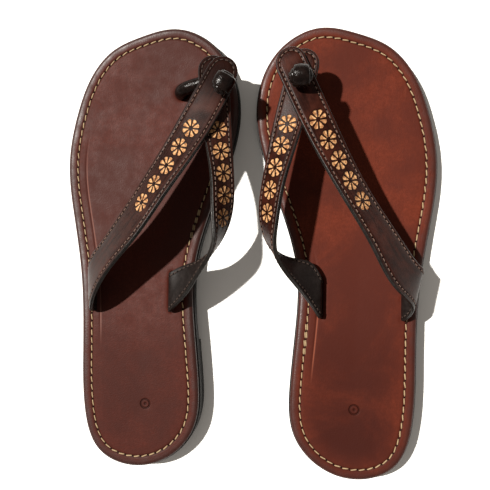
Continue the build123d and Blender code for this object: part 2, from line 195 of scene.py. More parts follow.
def spline(points, knots, at, closed=False):
    """Cubic spline through points at knots, natural at its ends or closed."""
    points = np.asarray(points, float)
    n = len(points)
    h = np.diff(knots)
    m = np.zeros((n, n))
    r = np.zeros((n, points.shape[1]))
    inner = range(n) if closed else range(1, n - 1)
    for i in inner:
        before, after = h[i - 1], h[i % len(h)]
        m[i, i - 1] += before
        m[i, i] += 2 * (before + after)
        m[i, (i + 1) % n] += after
        r[i] = 6 * ((points[(i + 1) % n] - points[i]) / after - (points[i] - points[i - 1]) / before)
    if not closed:
        m[0, 0] = m[-1, -1] = 1
    k = np.linalg.solve(m, r)
    seg = np.clip(np.searchsorted(knots, at, side="right") - 1, 0, len(h) - 1)
    nxt = (seg + 1) % n
    w = h[seg][:, None]
    b = (at - knots[seg])[:, None]
    a = w - b
    p0, p1, k0, k1 = points[seg], points[nxt], k[seg], k[nxt]
    return (k0 * a**3 + k1 * b**3) / (6 * w) + (p0 / w - k0 * w / 6) * a + (p1 / w - k1 * w / 6) * b


def chord_knots(points, closed=False):
    """Distance along the straight runs between points, from 0."""
    points = np.asarray(points, float)
    if closed:
        points = np.vstack([points, points[:1]])
    return np.concatenate([[0], np.cumsum(np.linalg.norm(np.diff(points, axis=0), axis=1))])


def columns_at(at, knots, table):
    """Each column of a table, looked up at."""
    return np.stack([np.interp(at, knots, table[:, i]) for i in range(table.shape[1])], -1)


def along_length(points, count):
    """Evenly spaced points round a finely drawn closed line, and its length."""
    points = np.vstack([points, points[:1]])
    knots = chord_knots(points)
    return columns_at(np.linspace(0, knots[-1], count, endpoint=False), knots, points), knots[-1]


def sole_outline(count):
    """The sole's plan as evenly spaced points, the outward direction at each, and its length."""
    knots = chord_knots(SOLE_PLAN, True)
    fine = spline(SOLE_PLAN, knots, np.linspace(0, knots[-1], CURVE_SAMPLES, endpoint=False), True)
    line, length = along_length(fine, count)
    run = np.roll(line, -1, 0) - np.roll(line, 1, 0)
    run /= np.linalg.norm(run, axis=1)[:, None]
    return line, np.stack([run[:, 1], -run[:, 0]], 1), length


def place(side, points):
    """From the left sole's own plan to the pair, in millimetres; the right sole is its mirror image."""
    p = np.array(points, float)
    if side == "left":
        return p + np.array([*LEFT_SOLE_AT, 0])
    c, s = math.cos(RIGHT_SOLE_TURN), math.sin(RIGHT_SOLE_TURN)
    x, y = -p[:, 0].copy(), p[:, 1].copy()
    p[:, 0], p[:, 1] = c * x - s * y, s * x + c * y
    return p + np.array([*RIGHT_SOLE_AT, 0])


def point_in_polygon(points, ring):
    """Which points are inside a closed ring."""
    x, y = points[:, 0], points[:, 1]
    inside = np.zeros(len(points), bool)
    for (x0, y0), (x1, y1) in zip(ring, np.roll(ring, -1, 0)):
        if y0 != y1:
            inside ^= ((y0 > y) != (y1 > y)) & (x < (x1 - x0) * (y - y0) / (y1 - y0) + x0)
    return inside


def distance_to_line(points, line, block=4000):
    """Distance from each point to the nearest of a line's points, a block at a time to save memory."""
    parts = []
    for start in range(0, len(points), block):
        gap = points[start:start + block, None, :] - line[None, :, :]
        parts.append(np.sqrt((gap**2).sum(2).min(1)))
    return np.concatenate(parts)


def ring_quads(count, first, second):
    """Quads between two closed rings of count points, which start at these indices."""
    quads = []
    for i in range(count):
        j = (i + 1) % count
        quads.append((first + i, first + j, second + j, second + i))
    return quads


def tube_quads(count, rings):
    """Quads of a tube made of so many rings of count points."""
    faces = []
    for k in range(rings - 1):
        faces += ring_quads(count, k * count, (k + 1) * count)
    return faces


def end_caps(count, total):
    """The faces that close the first and last rings of a tube of total points."""
    return [tuple(reversed(range(count))), tuple(range(total - count, total))]


plan_line, _, _ = sole_outline(PLAN_SAMPLES)
low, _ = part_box("left_insole")
SHIFT = np.array([low[0] / MM - plan_line[:, 0].min() - LEFT_SOLE_AT[0],
                  low[1] / MM - plan_line[:, 1].min(), 0])


def stamp_place(side):
    """Where the heel's stamp is in the scene, in metres."""
    x, y = HEEL_STAMP[side]
    centre = place(side, [(x, y, float(lift(y)) + SOLE_TOP - CUP_DEPTH - STAMP_DEPTH / 2)])[0]
    return tuple(float(v) for v in (centre + SHIFT) * MM)


def piece(name, side, verts, faces, materials, uv=None, indices=None, nodes=(), body=None):
    """A mesh piece from points in millimetres, smooth, on its body, standing for CAD nodes."""
    mesh = bpy.data.meshes.new(name)
    mesh.from_pydata(((np.asarray(verts) + SHIFT) * MM).tolist(), [], [list(f) for f in faces])
    for material in materials:
        mesh.materials.append(material)
    if indices is not None:
        mesh.polygons.foreach_set("material_index", np.asarray(indices, np.int32))
    if uv is not None:
        layer = mesh.uv_layers.new(name="mm")
        corner = np.empty(len(mesh.loops), np.int32)
        mesh.loops.foreach_get("vertex_index", corner)
        layer.data.foreach_set("uv", (np.asarray(uv)[corner] * MM).ravel())
    mesh.polygons.foreach_set("use_smooth", np.ones(len(mesh.polygons), bool))
    work = bmesh.new()
    work.from_mesh(mesh)
    bmesh.ops.remove_doubles(work, verts=work.verts, dist=MERGE_WITHIN)
    bmesh.ops.recalc_face_normals(work, faces=work.faces)
    work.to_mesh(mesh)
    work.free()
    obj = bpy.data.objects.new(name, mesh)
    bpy.context.scene.collection.objects.link(obj)
    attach(obj, body or f"{side}_flip_flop")
    if nodes:
        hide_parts(*nodes)
    return obj


# ------------------------ material helpers
MIX_A, MIX_B, MIX_COLOR = 6, 7, 2  # the Mix node's colour sockets, whose names repeat


def shade(color, share):
    """A colour made darker or lighter."""
    return tuple(share * c for c in color)


class Shader:
    """A node material, written as sums of small steps."""

    def __init__(self, name):
        self.material = bpy.data.materials.new(name)
        self.material.use_nodes = True
        self.tree = self.material.node_tree
        self.tree.nodes.clear()
        self.bsdf = self.tree.nodes.new("ShaderNodeBsdfPrincipled")
        out = self.tree.nodes.new("ShaderNodeOutputMaterial")
        self.tree.links.new(self.bsdf.outputs[0], out.inputs[0])
        self.place = self.tree.nodes.new("ShaderNodeTexCoord").outputs["Object"]

    def put(self, socket, value):
        """Link a socket, or set its value."""
        if isinstance(value, bpy.types.NodeSocket):
            self.tree.links.new(value, socket)
        elif value is not None:
            if isinstance(value, tuple) and len(value) == 3 and len(socket.default_value) == 4:
                value = (*value, 1)
            socket.default_value = value

    def calc(self, op, a, b=None):
        node = self.tree.nodes.new("ShaderNodeMath")
        node.operation = op
        for socket, value in zip(node.inputs, (a, b)):
            self.put(socket, value)
        return node.outputs[0]

    def times(self, first, *rest):
        for value in rest:
            first = self.calc("MULTIPLY", first, value)
        return first

    def plus(self, a, b):
        return self.calc("ADD", a, b)

    def minus(self, a, b):
        return self.calc("SUBTRACT", a, b)

    def apart(self, a, b):
        """How far two values are apart."""
        return self.calc("ABSOLUTE", self.minus(a, b))

    def split(self, vector):
        node = self.tree.nodes.new("ShaderNodeSeparateXYZ")
        self.tree.links.new(vector, node.inputs[0])
        return node.outputs

    def distance_mm(self, point):
        """Distance from a point in the scene, in millimetres."""
        node = self.tree.nodes.new("ShaderNodeVectorMath")
        node.operation = "DISTANCE"
        self.tree.links.new(self.place, node.inputs[0])
        node.inputs[1].default_value = point
        return self.calc("DIVIDE", node.outputs["Value"], MM)

    def noise(self, scale, detail=3.0, roughness=0.55, stretch=None, at=None, distortion=0.0):
        coords = at or self.place
        if stretch:
            mapping = self.tree.nodes.new("ShaderNodeMapping")
            mapping.inputs["Scale"].default_value = stretch
            self.tree.links.new(coords, mapping.inputs["Vector"])
            coords = mapping.outputs[0]
        node = self.tree.nodes.new("ShaderNodeTexNoise")
        self.tree.links.new(coords, node.inputs["Vector"])
        node.inputs["Scale"].default_value = scale
        node.inputs["Detail"].default_value = detail
        node.inputs["Roughness"].default_value = roughness
        node.inputs["Distortion"].default_value = distortion
        return node.outputs["Fac"]

    def cells(self, scale):
        """Voronoi cells, as the pores of a grain."""
        node = self.tree.nodes.new("ShaderNodeTexVoronoi")
        self.tree.links.new(self.place, node.inputs["Vector"])
        node.inputs["Scale"].default_value = scale
        return node.outputs["Distance"]

    def step(self, value, start, end, low=0.0, high=1.0):
        """A smooth step from low at start to high at end."""
        node = self.tree.nodes.new("ShaderNodeMapRange")
        node.interpolation_type = "SMOOTHSTEP"
        names = ("Value", "From Min", "From Max", "To Min", "To Max")
        for name, v in zip(names, (value, start, end, low, high)):
            self.put(node.inputs[name], v)
        return node.outputs[0]

    def line(self, value, centre, core, fade, strength=1.0):
        """A line where value is near centre: full within core of it, gone past fade."""
        return self.step(self.apart(value, centre), core, fade, strength, 0.0)

    def mix(self, share, a, b):
        node = self.tree.nodes.new("ShaderNodeMix")
        node.data_type = "RGBA"
        self.put(node.inputs["Factor"], share)
        self.put(node.inputs[MIX_A], a)
        self.put(node.inputs[MIX_B], b)
        return node.outputs[MIX_COLOR]

    def bump(self, height, distance, strength, normal=None):
        node = self.tree.nodes.new("ShaderNodeBump")
        node.inputs["Strength"].default_value = strength
        node.inputs["Distance"].default_value = distance
        self.tree.links.new(height, node.inputs["Height"])
        self.put(node.inputs["Normal"], normal)
        return node.outputs[0]

    def flat(self):
        """The piece's own flat map, in metres, and its two distances in millimetres."""
        node = self.tree.nodes.new("ShaderNodeUVMap")
        node.uv_map = "mm"
        u, v, _ = self.split(node.outputs[0])
        return node.outputs[0], self.calc("DIVIDE", u, MM), self.calc("DIVIDE", v, MM)

    def finish(self, color, roughness, normal, specular):
        self.put(self.bsdf.inputs["Base Color"], color)
        self.put(self.bsdf.inputs["Roughness"], roughness)
        self.put(self.bsdf.inputs["Normal"], normal)
        self.put(self.bsdf.inputs["Specular IOR Level"], specular)
        return self.material


# ------------------------ leather
def burnished(s, warm, dark, scuff_and_highlight, broad, mottle, fine):
    """Colour of burnished leather: mottled, specked, faintly woven, with dark clouds and pale scuffs."""
    speck = s.noise(620, 4, 0.7)
    weave = s.noise(420, 2, 0.5, stretch=(1, 0.25, 1))
    scuff = s.noise(60, 4, 0.7, stretch=(9, 1, 1))
    color = s.mix(s.step(mottle, 0.3, 0.7), warm, shade(warm, 0.84))
    color = s.mix(s.step(fine, 0.35, 0.7, 0.0, 0.5), color, shade(warm, 0.6))
    color = s.mix(s.step(speck, 0.36, 0.64, 0.0, 0.42), color, shade(warm, 0.45))
    color = s.mix(s.step(weave, 0.45, 0.75, 0.0, 0.35), color, shade(warm, 0.55))
    color = s.mix(s.step(broad, 0.38, 0.62, 0.0, 0.85), color, dark)
    return s.mix(s.step(scuff, 0.6, 0.8, 0.0, 0.25), color, scuff_and_highlight)


def footbed_leather(name, warm, dark, scuff_and_highlight, heel_tone, stamp, shine, worn, crease_highlight_x, crease_highlight_y):
    """Burnished footbed: darker at the heel, the rim and the row of stitches, with a stamp and a crease
    that carries a painted highlight.

    The stamp's place and the crease highlight's x and y from and to are in metres.
    """
    s = Shader(name)
    _, _, inset = s.flat()
    x, y, _ = s.split(s.place)
    broad = s.noise(22, 5, 0.62, distortion=0.4)
    mottle = s.noise(120, 5, 0.7)
    pores = s.cells(1500)
    fine = s.noise(2200, 3, 0.6)
    color = burnished(s, warm, dark, scuff_and_highlight, broad, mottle, fine)

    heel = s.times(s.step(y, -0.12, 0.03, 1.0, 0.0), s.step(inset, 5.0, 18.0, 0.4, 1.0))
    heel = s.times(heel, s.step(broad, 0.36, 0.62, 0.65, 1.1), worn)
    color = s.mix(heel, color, heel_tone)

    # Painted highlight: a pale line along the worn crease, on one side of the footbed only.
    crease = s.times(s.line(inset, CREASE_INSET + 0.5, 0.15, 0.55), s.step(x, *crease_highlight_x))
    crease = s.times(crease, s.step(y, crease_highlight_y[0], crease_highlight_y[0] + 0.02))
    crease = s.times(crease, s.step(y, crease_highlight_y[1] - 0.03, crease_highlight_y[1], 1.0, 0.0))
    color = s.mix(s.times(crease, 0.6), color, shade(scuff_and_highlight, 1.8))

    rim = s.step(s.plus(inset, s.times(s.noise(180), 3.0)), 1.6, 6.5, 1.0, 0.0)
    color = s.mix(s.times(rim, 0.75), color, shade(dark, 0.42))
    color = s.mix(s.line(inset, STITCH_INSET, 0.5, 1.3, 0.45), color, shade(dark, 0.5))

    from_stamp = s.distance_mm(stamp)
    ring = s.line(from_stamp, STAMP_RING, 0.25, 0.6)
    mark = s.calc("MAXIMUM", ring, s.step(from_stamp, 0.5, 0.9, 1.0, 0.0))
    color = s.mix(s.times(mark, 0.75), color, shade(dark, 0.35))

    height = s.plus(s.times(pores, 0.6), s.times(fine, 0.5))
    normal = s.bump(s.minus(height, s.times(mark, 3.0)), 0.00012, 0.7)
    normal = s.bump(mottle, 0.0003, 0.2, normal)
    rough = s.plus(s.step(mottle, 0.25, 0.75, 0.42, 0.6), s.times(rim, -0.12))
    return s.finish(color, rough, normal, s.plus(s.times(rim, 0.3), shine))


def flower_row(s, run, across):
    """Where the stamped flowers' petals are on a strap, and how scorched the grain is round them."""
    index = s.calc("DIVIDE", run, FLOWER_SPACING)
    x = s.times(s.minus(s.calc("FRACT", index), 0.5), FLOWER_SPACING)
    radius = s.calc("SQRT", s.plus(s.times(x, x), s.times(across, across)))
    sector = s.times(s.calc("ARCTAN2", across, x), PETALS / math.tau)
    off = s.apart(s.calc("FRACT", s.plus(sector, PETAL_SHIFT)), 0.5)
    sideways = s.times(off, math.tau / PETALS, radius)
    half = s.times(s.minus(radius, PETAL_POINT), PETAL_SPREAD)
    worn = s.times(s.minus(s.noise(700), 0.5), 0.7)
    gap = s.plus(s.minus(half, sideways), s.times(worn, 0.3))
    reach = s.plus(radius, s.plus(worn, s.times(off, PETAL_ROUNDING)))
    outer = s.step(reach, PETAL_END - 0.05, PETAL_END + 0.2, 1.0, 0.0)
    inner = s.step(s.plus(radius, worn), PETAL_START, PETAL_START + 0.35)
    row = s.times(s.calc("GREATER_THAN", index, 0.0), s.calc("LESS_THAN", index, float(FLOWERS)))
    petal = s.times(s.step(gap, -0.02, 0.16), s.times(outer, inner), row)
    near = s.step(radius, PETAL_END, PETAL_END + 1, 1.0, 0.0)
    return petal, s.times(s.step(gap, -0.75, -0.1, 0.0, 0.8), near, row)


def strap_leather(name, base, light, toe_shade):
    """Grain leather of a strap, streaked along it, with its row of tan flowers and painted shade at its toe
    end.
    """
    s = Shader(name)
    flat, run, across = s.flat()
    mottle = s.noise(220, 4, 0.6)
    streak = s.noise(500, 3, 0.6, stretch=(0.08, 1, 1), at=flat)
    color = s.mix(s.step(mottle, 0.3, 0.75), base, light)
    color = s.mix(s.step(streak, 0.42, 0.66, 0.0, 0.7), color, shade(base, 0.35))
    color = s.mix(s.step(s.noise(45, 2), 0.5, 0.72, 0.0, 0.6), color, shade(light, 1.9))
    # Painted shade: darker, and with less sheen, towards the toe end of the left straps.
    toe = s.step(run, TOE_SHADE_START, TOE_SHADE_END, 0.0, toe_shade)
    color = s.mix(toe, color, shade(base, 0.4))

    petal, scorched = flower_row(s, run, across)
    color = s.mix(scorched, color, shade(base, 0.5))
    tan = s.mix(s.step(s.noise(700), 0.35, 0.65), (0.22, 0.09, 0.035), (0.54, 0.31, 0.145))
    color = s.mix(s.times(petal, s.step(s.noise(260, 2), 0.3, 0.5, 0.7, 1.0)), color, tan)

    height = s.plus(s.times(s.cells(1900), 0.7), s.times(s.noise(3200, 2, 0.6), 0.4))
    normal = s.bump(height, 0.0001, 0.7)
    normal = s.bump(s.times(petal, -1.0), 0.00012, 0.8, normal)
    rough = s.plus(s.step(mottle, 0.2, 0.8, 0.30, 0.44), s.times(petal, 0.25))
    return s.finish(color, rough, normal, s.times(s.minus(1.0, toe), 0.085))


def plain_leather(name, base, light, rough, scale=300, bump=0.0001, shine=0.18):
    s = Shader(name)
    mottle = s.noise(scale, 4, 0.6)
    color = s.mix(s.step(mottle, 0.3, 0.75), base, light)
    height = s.plus(s.times(s.cells(1800), 0.6), s.times(s.noise(2600, 3, 0.6), 0.5))
    normal = s.bump(s.plus(height, s.times(mottle, 1.5)), bump, 0.8)
    return s.finish(color, s.step(mottle, 0.25, 0.8, *rough), normal, shine)


# ------------------------ thread, rubber and needle holes
def thread_material(name, base, light):
    """Waxed thread: plies seen as fine slanted ridges."""
    s = Shader(name)
    wave = s.tree.nodes.new("ShaderNodeTexWave")
    s.tree.links.new(s.place, wave.inputs["Vector"])
    wave.bands_direction = "DIAGONAL"
    wave.inputs["Scale"].default_value = 900
    wave.inputs["Distortion"].default_value = 2.0
    wave.inputs["Detail"].default_value = 2.0
    plies = wave.outputs["Fac"]
    fuzz = s.noise(1800)
    color = s.mix(s.step(fuzz, 0.3, 0.7), base, light)
    color = s.mix(s.times(plies, 0.3), color, shade(base, 0.55))
    normal = s.bump(s.plus(plies, fuzz), 0.0001, 0.8)
    return s.finish(color, s.step(fuzz, 0.2, 0.8, 0.55, 0.8), normal, 0.2)


def black_rubber(name, base, light):
    """Moulded rubber with faint layers along the sole's edge."""
    s = Shader(name)
    mottle = s.noise(120, 4, 0.6)
    layers = s.noise(40, 2, 0.5, stretch=(1, 1, 30))
    color = s.mix(s.step(mottle, 0.3, 0.75), base, light)
    normal = s.bump(s.plus(s.noise(1500, 4, 0.65), s.times(layers, 0.8)), 0.00015, 0.7)
    return s.finish(color, s.step(mottle, 0.2, 0.8, 0.42, 0.65), normal, 0.2)


# Near-black colour of the needle holes: painted shade for the inside of each hole.
def dark_hole(name):
    s = Shader(name)
    fuzz = s.noise(1500, 2)
    color = s.mix(fuzz, (0.004, 0.0025, 0.002), (0.009, 0.006, 0.005))
    return s.finish(color, s.step(fuzz, 0, 1, 0.8, 0.95), None, 0.04)


brown = {
    "left": footbed_leather(
        "left_footbed", warm=(0.072, 0.0158, 0.0100), dark=(0.042, 0.0120, 0.0088),
        scuff_and_highlight=(0.10, 0.045, 0.035), heel_tone=(0.0274, 0.0068, 0.0048), stamp=stamp_place("left"),
        shine=0.075, worn=0.55, crease_highlight_x=(-0.070, -0.075), crease_highlight_y=(-0.06, 0.07)),
    "right": footbed_leather(
        "right_footbed", warm=(0.122, 0.0235, 0.0118), dark=(0.056, 0.0125, 0.0080),
        scuff_and_highlight=(0.12, 0.034, 0.018), heel_tone=(0.033, 0.0080, 0.0056), stamp=stamp_place("right"),
        shine=0.04, worn=0.85, crease_highlight_x=(0.065, 0.060), crease_highlight_y=(-0.080, -0.005)),
}
strap_brown = {
    "left": strap_leather("left_strap_grain", (0.015, 0.0050, 0.0036), (0.030, 0.0100, 0.0070), 0.75),
    "right": strap_leather("right_strap_grain", (0.015, 0.0036, 0.0022), (0.031, 0.0075, 0.0042), 0.0),
}
lining_black = plain_leather("lining_leather", (0.0055, 0.0036, 0.0030), (0.012, 0.0085, 0.0075),
                             (0.45, 0.65))
edge_black = plain_leather("painted_edge", (0.006, 0.005, 0.004), (0.014, 0.011, 0.010), (0.28, 0.45))
post_leather = plain_leather("rolled_leather", (0.0035, 0.0022, 0.0019), (0.0095, 0.0052, 0.0042),
                             (0.16, 0.30), scale=420, bump=0.00013, shine=0.11)
midsole_black = black_rubber("midsole_edge", (0.006, 0.005, 0.005), (0.014, 0.012, 0.0115))
outsole_black = black_rubber("outsole_rubber", (0.005, 0.005, 0.005), (0.012, 0.0115, 0.0115))
sole_thread = thread_material("sole_thread", (0.27, 0.185, 0.10), (0.40, 0.30, 0.175))
strap_thread = thread_material("strap_thread", (0.080, 0.047, 0.036), (0.19, 0.12, 0.093))
hole_shade = dark_hole("needle_hole")
# Dark thread for the lining side, also used as painted shade on the stitches near the left straps' toe
# ends.
lining_and_shaded_thread = thread_material("lining_and_shaded_thread", (0.035, 0.022, 0.017), (0.075, 0.050, 0.040))


# ------------------------ soles
def slot_ring(slot_x, grow):
    """Outline of a strap's slot in the sole's own plan, made larger all round by grow."""
    half_width = (GRAIN + LINING) / 2 + SLOT_GAP + grow
    half_length = SLOT_LENGTH / 2 + grow - half_width
    inward = 1 if slot_x < 0 else -1
    t = np.linspace(0, math.tau, SLOT_SAMPLES, endpoint=False)
    y = np.sin(t) * half_width + np.sign(np.sin(t)) * half_length
    return np.column_stack([np.cos(t) * half_width, y]) + (slot_x - (GRAIN - LINING) / 2 * inward, SLOT_Y)


def circle_ring(at, radius):
    t = np.linspace(0, math.tau, CIRCLE_SAMPLES, endpoint=False)
    return np.column_stack([np.cos(t), np.sin(t)]) * radius + at


def hole_rings(grow):
    """Rings round the footbed's three openings, which are those openings at grow 0."""
    return [slot_ring(OUTER_SLOT_X, grow), slot_ring(INNER_SLOT_X, grow),
            circle_ring(POST_AT, POST_RADIUS + POST_GAP + grow)]


def footbed_profile(inset):
    """Height above the flat top against the distance from the rim."""
    rim = -RIM_DROP * np.clip(1 - np.asarray(inset, float) / RIM_WIDTH, 0, 1) ** 2
    return rim - GROOVE_DEPTH * hump(inset - STITCH_INSET, GROOVE_WIDTH)


def footbed_height(side, flat, inset, holes):
    """Height of the footbed above its flat top at points of the sole's own plan."""
    z = footbed_profile(inset)
    for ring in holes:
        z -= HOLE_DIP * hump(distance_to_line(flat, ring), HOLE_DIP_WIDTH)
    from_stamp = np.linalg.norm(flat - HEEL_STAMP[side], axis=1)
    z -= STAMP_DEPTH * hump(from_stamp - STAMP_RING, STAMP_RING_WIDTH)
    z -= STAMP_DEPTH * hump(from_stamp, STAMP_DOT)
    z -= CUP_DEPTH * np.clip((inset - CUP_START) / CUP_RUN, 0, 1)
    crease_side, start, end = CREASE[side]
    worn = np.clip((flat[:, 1] - start) / CREASE_FADE_IN, 0, 1)
    worn = worn * np.clip((end - flat[:, 1]) / CREASE_FADE_OUT, 0, 1) * (flat[:, 0] * crease_side > 0)
    return z - CREASE_DEPTH * worn * hump(inset - CREASE_INSET, CREASE_WIDTH)


def footbed_grid(inner_ring, keep_clear):
    """Staggered points over the footbed, inside its inmost ring and clear of the rings given."""
    grid = []
    for i, x in enumerate(np.arange(*GRID_X, GRID_STEP)):
        for y in np.arange(*GRID_Y, GRID_STEP):
            grid.append((x, y + (i % 2) * GRID_STEP / 2))
    grid = np.array(grid)
    deep = distance_to_line(grid, plan_line) > FOOTBED_INSETS[-1] + GRID_GAP
    grid = grid[point_in_polygon(grid, inner_ring) & deep]
    for ring in keep_clear:
        grid = grid[~point_in_polygon(grid, ring)]
    return grid


def fill_footbed(side, inner_ring, holes):
    """Triangles inside the inmost ring but not in the holes: points, faces and each hole's loop."""
    around = [hole_rings(grow) for grow in HOLE_RINGS[1:]]
    stamp = [circle_ring(HEEL_STAMP[side], radius) for radius in STAMP_RINGS]
    keep_clear = around[-1] + [circle_ring(HEEL_STAMP[side], STAMP_CLEAR)]
    edges, loops = [], []
    at = 0
    for ring in [inner_ring] + holes:
        loop = list(range(at, at + len(ring)))
        edges += zip(loop, loop[1:] + loop[:1])
        loops.append(loop)
        at += len(ring)
    pool = [inner_ring] + holes + sum(around, []) + stamp + [footbed_grid(inner_ring, keep_clear)]
    points, _, faces, _, _, _ = delaunay_2d_cdt([Vector(p) for p in np.vstack(pool)], edges, [], 0, 1e-6)
    points = np.array([(v.x, v.y) for v in points])
    centres = np.array([points[list(f)].mean(0) for f in faces])
    keep = point_in_polygon(centres, inner_ring)
    for ring in holes:
        keep &= ~point_in_polygon(centres, ring)
    return points, [f for f, kept in zip(faces, keep) if kept], loops[1:]


def insole_mesh(side, material):
    """Footbed with a rounded rim, stitch groove, slots, the post's hole, a crease and the heel's stamp."""
    line, outward, length = sole_outline(RIM_SAMPLES)
    rings = [line - outward * inset for inset in FOOTBED_INSETS]
    holes = hole_rings(HOLE_RINGS[0])
    filled, triangles, loops = fill_footbed(side, rings[-1], holes)
    offset = len(rings) * RIM_SAMPLES
    flat = np.vstack(rings + [filled])
    inset = np.concatenate([np.repeat(FOOTBED_INSETS, RIM_SAMPLES), distance_to_line(filled, plan_line)])
    top = np.column_stack([flat, lift(flat[:, 1]) + SOLE_TOP + footbed_height(side, flat, inset, holes)])
    bottom = np.column_stack([line, lift(line[:, 1]) + INSOLE_UNDERSIDE])
    verts = np.vstack([top, bottom])
    faces = tube_quads(RIM_SAMPLES, len(rings)) + ring_quads(RIM_SAMPLES, len(top), 0)
    faces += [tuple(v + offset for v in f) for f in triangles]
    for loop in loops:
        start = len(verts)
        upper = [offset + i for i in loop]
        ring = flat[upper]
        verts = np.vstack([verts, np.column_stack([ring, lift(ring[:, 1]) + SOLE_TOP - HOLE_WALL])])
        for i in range(len(loop)):
            j = (i + 1) % len(loop)
            faces.append((upper[i], start + i, start + j, upper[j]))
    around = np.arange(RIM_SAMPLES) / RIM_SAMPLES * length
    walls = np.zeros(len(verts) - len(top) - RIM_SAMPLES)
    u = np.concatenate([np.tile(around, len(rings)), filled[:, 1], around, walls])
    uv = np.column_stack([u, np.concatenate([inset, np.zeros(len(verts) - len(top))])])
    return piece(f"{side}_footbed", side, place(side, verts), faces, [material],
                 uv=uv, nodes=(f"{side}_insole",))


def sole_layer(side, name, profile, material, node):
    """A layer of the sole: a wall round its plan that follows a profile, closed below and above."""
    line, outward, _ = sole_outline(RIM_SAMPLES)
    rings = []
    for out, height in profile:
        flat = line + outward * out
        rings.append(np.column_stack([flat, lift(flat[:, 1]) + height]))
    verts = np.vstack(rings)
    faces = tube_quads(RIM_SAMPLES, len(rings)) + end_caps(RIM_SAMPLES, len(verts))
    return piece(f"{side}_{name}", side, place(side, verts), faces, [material], nodes=(node,))


# ------------------------ stitches
def stitch_template(length, width, height):
    """A bowed stitch whose ends dip into its holes, along +X, up +Z."""
    verts = []
    for k in range(STITCH_SECTIONS):
        t = -1 + 2 * k / (STITCH_SECTIONS - 1)
        swell = math.sqrt(max(1 - abs(t) ** STITCH_FULLNESS, STITCH_TIP))
        for m in range(STITCH_SIDES):
            a = math.tau * m / STITCH_SIDES
            verts.append((t * length / 2, math.cos(a) * width / 2 * swell,
                          math.sin(a) * height / 2 * swell - STITCH_DIP * t**4))
    faces = tube_quads(STITCH_SIDES, STITCH_SECTIONS) + end_caps(STITCH_SIDES, len(verts))
    return np.array(verts), faces


def needle_template(radius, reach):
    """Small dish at each end of a stitch, coloured near-black as painted shade inside its needle hole."""
    verts = []
    faces = []
    for end in (-reach, reach):
        start = len(verts)
        verts.append((end, 0, NEEDLE_DISH))
        for m in range(STITCH_SIDES):
            a = math.tau * m / STITCH_SIDES
            verts.append((end + math.cos(a) * radius, math.sin(a) * radius, NEEDLE_LIP))
            faces.append((start, start + 1 + m, start + 1 + (m + 1) % STITCH_SIDES))
    return np.array(verts), faces


def stitches(name, side, row, size, needle, thread, node, slant=0.0, doubled=(), dark=()):
    """Every stitch of a row of (points, runs, normals), with the holes it goes into."""
    verts, faces, kinds = [], [], []
    at = 0
    stitch_verts, stitch_faces = stitch_template(*size)
    hole_verts, hole_faces = needle_template(*needle)
    for index, (point, run, normal) in enumerate(zip(*row)):
        run = run / np.linalg.norm(run)
        across = np.cross(normal, run)
        across /= np.linalg.norm(across)
        wobble = rng.normal(0, UNEVEN, 2)
        tilt = rng.normal(slant, UNEVEN)
        swell = 1 + rng.normal(0, UNEVEN)
        base = np.stack([run * math.cos(tilt) + across * math.sin(tilt),
                         across * math.cos(tilt) - run * math.sin(tilt), np.cross(run, across)])
        for off in (-DOUBLE_GAP, DOUBLE_GAP) if index in doubled else (0.0,):
            centre = point + across * (off + wobble[0] * UNEVEN_ROW) + run * wobble[1]
            verts.append(stitch_verts * [1, swell, swell] @ base + centre)
            faces += [tuple(v + at for v in f) for f in stitch_faces]
            kinds += [2 if index in dark else 0] * len(stitch_faces)
            at += len(stitch_verts)
        verts.append(hole_verts @ base + point)
        faces += [tuple(v + at for v in f) for f in hole_faces]
        kinds += [1] * len(hole_faces)
        at += len(hole_verts)
    return piece(name, side, np.vstack(verts), faces, [thread, hole_shade, lining_and_shaded_thread],
                 indices=kinds, nodes=(node,))


def sole_stitching(side):
    """The row of stitches round the footbed, gone over twice at the waist."""
    line, outward, _ = sole_outline(ROW_SAMPLES)
    row = line - outward * STITCH_INSET
    count = round(chord_knots(row, True)[-1] / STITCH_PITCH)
    flat, _ = along_length(row, count)
    z = lift(flat[:, 1]) + SOLE_TOP + footbed_profile(STITCH_INSET) + STITCH_DIP
    points = place(side, np.column_stack([flat, z]))
    runs = np.roll(points, -1, 0) - np.roll(points, 1, 0)
    start, end = DOUBLED_WAIST[side]
    doubled = [i for i in range(count) if start < flat[i, 1] < end and flat[i, 0] > 0]
    return stitches(f"{side}_sole_thread", side, (points, runs, np.tile([0.0, 0.0, 1.0], (count, 1))),
                    SOLE_STITCH, SOLE_NEEDLE, sole_thread, f"{side}_sole_stitching",
                    SOLE_SLANT, doubled)


